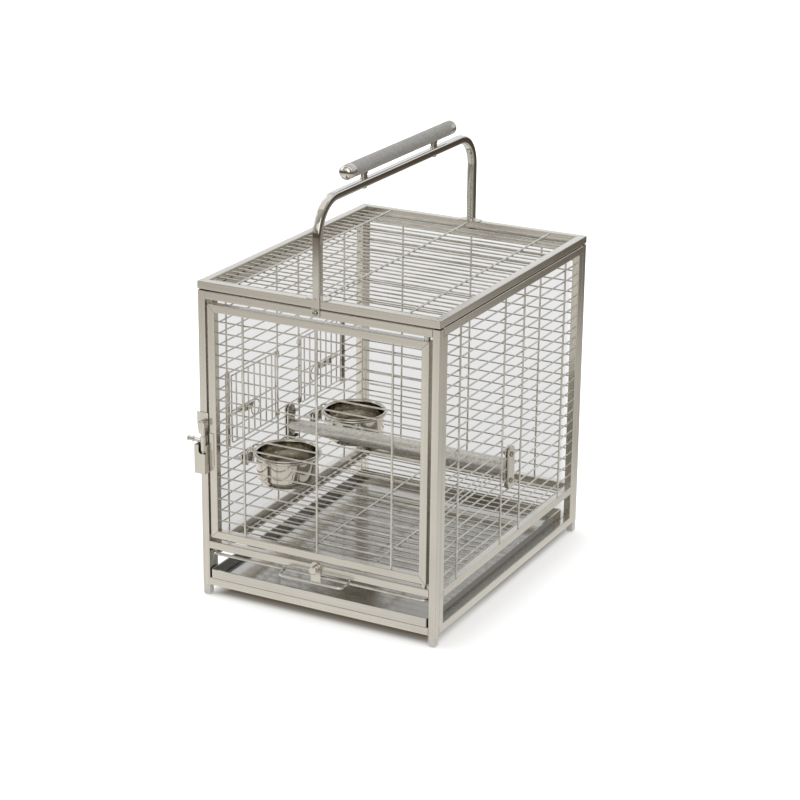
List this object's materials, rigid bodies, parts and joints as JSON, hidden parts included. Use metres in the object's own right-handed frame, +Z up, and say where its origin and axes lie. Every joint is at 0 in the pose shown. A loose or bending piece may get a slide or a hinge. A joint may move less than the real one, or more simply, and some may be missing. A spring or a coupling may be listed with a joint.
{
  "type": "bird travel carrier",
  "caption": "Box-shaped wire bird carrier with a hinged front door, slide latch, pull-out tray and grate, perch, lift-out bowls, feeder doors and a carrying handle.",
  "frame": {"origin": "on the floor, under the middle of the whole part's outline, with everything shut", "axes": "+X to the carrier's right as seen from its door, +Y to its back, +Z up"},
  "size_m": [0.3754, 0.4819, 0.6105],
  "materials": {
    "satin_steel": "satin",
    "wire_steel": "satin",
    "polished_steel": "polished",
    "tray_steel": "half-bright rolled sheet",
    "grip_steel": "matte",
    "perch_steel": "matte",
    "foot_cap": "satin grey",
    "bush": "plain"
  },
  "bodies": {
    "carrier": {"front_left_post": "satin_steel", "front_right_post": "satin_steel", "back_left_post": "satin_steel", "back_right_post": "satin_steel", "feet": "foot_cap", "front_rails": "satin_steel", "back_rails": "satin_steel", "left_side_frame": "satin_steel", "right_side_frame": "satin_steel", "right_mesh": "wire_steel", "back_mesh": "wire_steel", "left_mesh": "wire_steel", "lid_frame": "satin_steel", "lid_mesh": "wire_steel", "lid_pads": "satin_steel", "tray_runners": "satin_steel", "grate_runners": "satin_steel", "door_hinge_pins": "polished_steel", "door_hinge_spacers": "polished_steel", "door_stops": "satin_steel", "latch_box": "satin_steel", "latch_plate": "satin_steel", "perch_inner_plates": "satin_steel", "perch_outer_plates": "satin_steel", "perch_bolts": "polished_steel", "perch_nuts": "polished_steel", "perch_bar": "perch_steel", "front_bowl_ring": "wire_steel", "rear_bowl_ring": "wire_steel", "bowl_clamp_plates": "satin_steel", "bowl_clamp_bolts": "polished_steel", "bowl_wing_nuts": "polished_steel", "feeder_door_strips": "satin_steel", "handle_tube": "polished_steel", "handle_brackets": "satin_steel", "strap_screws": "polished_steel", "grip_tube": "grip_steel", "grip_standoffs": "polished_steel", "grip_bolts": "polished_steel", "grip_end_caps": "polished_steel"},
    "front_door": {"door_frame": "satin_steel", "door_mesh": "wire_steel", "door_hinge_bushes": "bush", "door_keeper": "satin_steel"},
    "latch_slider": {"latch_bolt": "polished_steel"},
    "front_feeder": {"front_feeder_door": "wire_steel", "front_feeder_latch_case": "satin_steel"},
    "front_feeder_slider": {"front_feeder_bolt": "polished_steel"},
    "rear_feeder": {"rear_feeder_door": "wire_steel", "rear_feeder_latch_case": "satin_steel"},
    "rear_feeder_slider": {"rear_feeder_bolt": "polished_steel"},
    "grate_drawer": {"grate": "wire_steel", "grate_loop": "polished_steel", "grate_tab": "satin_steel"},
    "grate_screw": {"thumb_screw": "polished_steel"},
    "tray_drawer": {"tray": "tray_steel"},
    "front_cup": {"front_bowl": "polished_steel"},
    "rear_cup": {"rear_bowl": "polished_steel"}
  },
  "joints": [
    {"name": "front_door_hinge", "type": "hinge", "parent": "carrier", "child": "front_door", "pos_m": [0.16637, -0.2146, 0.25375], "axis": [0, 0, 1], "range_deg": [0, 110]},
    {"name": "latch_slide", "type": "slide", "parent": "carrier", "child": "latch_slider", "axis": [0, 0, 1], "range_m": [0, 0.012]},
    {"name": "front_feeder_hinge", "type": "hinge", "parent": "carrier", "child": "front_feeder", "pos_m": [-0.16798, -0.02165, 0.236], "axis": [0, 0, -1], "range_deg": [0, 95]},
    {"name": "front_feeder_bolt_slide", "type": "slide", "parent": "front_feeder", "child": "front_feeder_slider", "axis": [0, 1, 0], "range_m": [0, 0.008], "stiffness_N_per_m": 200, "springref_m": -0.004},
    {"name": "rear_feeder_hinge", "type": "hinge", "parent": "carrier", "child": "rear_feeder", "pos_m": [-0.16798, 0.03835, 0.236], "axis": [0, 0, 1], "range_deg": [0, 95]},
    {"name": "rear_feeder_bolt_slide", "type": "slide", "parent": "rear_feeder", "child": "rear_feeder_slider", "axis": [0, -1, 0], "range_m": [0, 0.008], "stiffness_N_per_m": 200, "springref_m": -0.004},
    {"name": "tray_slide", "type": "slide", "parent": "carrier", "child": "tray_drawer", "axis": [0, -1, 0], "range_m": [0, 0.4]},
    {"name": "grate_slide", "type": "slide", "parent": "carrier", "child": "grate_drawer", "axis": [0, -1, 0], "range_m": [0, 0.4]},
    {"name": "grate_screw_turn", "type": "hinge", "parent": "grate_drawer", "child": "grate_screw", "pos_m": [0.00802, -0.22015, 0.07585], "axis": [0, 1, 0], "continuous": true},
    {"name": "front_bowl_lift", "type": "slide", "parent": "carrier", "child": "front_cup", "axis": [0, 0, 1], "range_m": [0, 0.1]},
    {"name": "rear_bowl_lift", "type": "slide", "parent": "carrier", "child": "rear_cup", "axis": [0, 0, 1], "range_m": [0, 0.1]}
  ]
}
